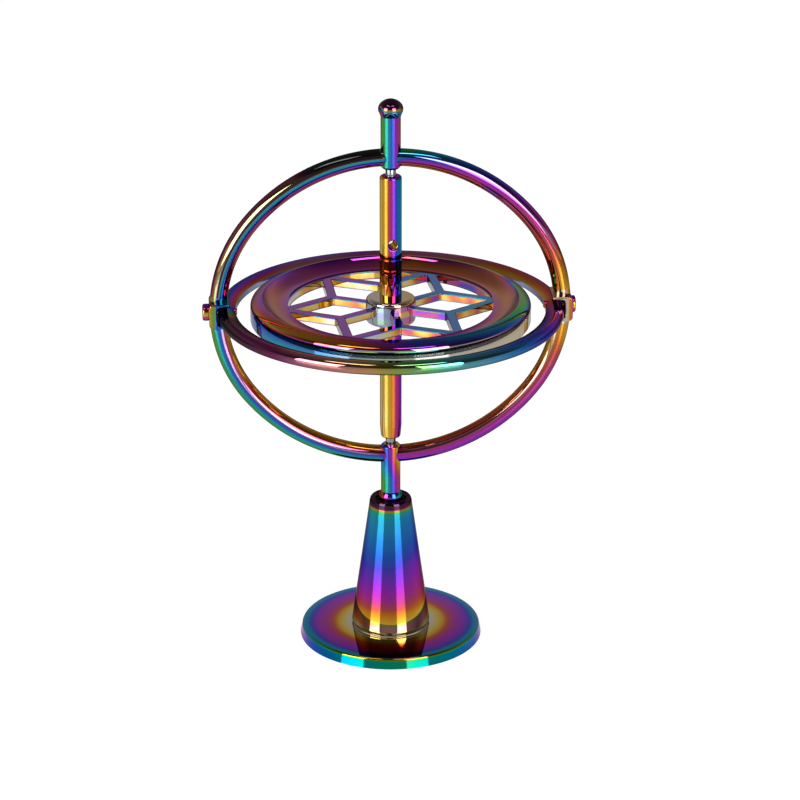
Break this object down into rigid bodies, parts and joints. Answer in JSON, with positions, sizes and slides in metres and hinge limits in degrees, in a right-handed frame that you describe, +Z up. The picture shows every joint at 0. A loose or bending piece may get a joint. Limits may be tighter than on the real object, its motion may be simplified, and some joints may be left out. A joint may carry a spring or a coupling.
{
  "type": "gyroscope on stand",
  "caption": "Mirror-plated metal gyroscope in a ring frame, balanced by its ball foot on the cup of a small conical stand; it spins, leans and precesses.",
  "frame": {"origin": "on the table, at the centre of the round foot's underside, below the axis of the spindle and the stand", "axes": "+Z up along the spindle, +X towards the right-hand joint block so that the upright ring lies in the XZ plane, -Y towards the viewer of the picture"},
  "size_m": [0.0624, 0.0578, 0.0954],
  "materials": {
    "base_plating": "mirror-polished rainbow plating",
    "screw_steel": "plain steel",
    "cone_plating": "mirror-polished rainbow plating",
    "ball_plating": "mirror-polished rainbow plating",
    "frame_plating": "mirror-polished rainbow plating",
    "knob_plating": "mirror-polished rainbow plating",
    "bush_brass": "machined brass",
    "level_ring_plating": "mirror-polished rainbow plating",
    "rivet_plating": "mirror-polished rainbow plating",
    "rotor_plating": "mirror-polished rainbow plating",
    "spindle_plating": "mirror-polished rainbow plating",
    "pivot_steel": "bright ground steel"
  },
  "bodies": {
    "stand": {"base_disc": "base_plating", "stand_screw": "screw_steel", "stand_cone": "cone_plating"},
    "ball": {"lower_ball": "ball_plating"},
    "gyro_frame": {"vertical_ring": "frame_plating", "upper_knob": "knob_plating", "upper_bearing": "bush_brass", "lower_bearing": "bush_brass", "horizontal_ring": "level_ring_plating", "left_rivet": "rivet_plating", "right_rivet": "rivet_plating"},
    "rotor": {"flywheel": "rotor_plating", "spindle": "spindle_plating", "upper_pivot": "pivot_steel", "lower_pivot": "pivot_steel"}
  },
  "joints": [
    {"name": "precession", "type": "hinge", "parent": "stand", "child": "ball", "pos_m": [0, 0, 0.02516], "axis": [0, 0, 1], "continuous": true},
    {"name": "lean", "type": "hinge", "parent": "ball", "child": "gyro_frame", "pos_m": [0, 0, 0.02516], "axis": [0, 1, 0], "range_deg": [-45, 45]},
    {"name": "rotor_spin", "type": "hinge", "parent": "gyro_frame", "child": "rotor", "pos_m": [0, 0, 0.0594], "axis": [0, 0, 1], "continuous": true}
  ]
}
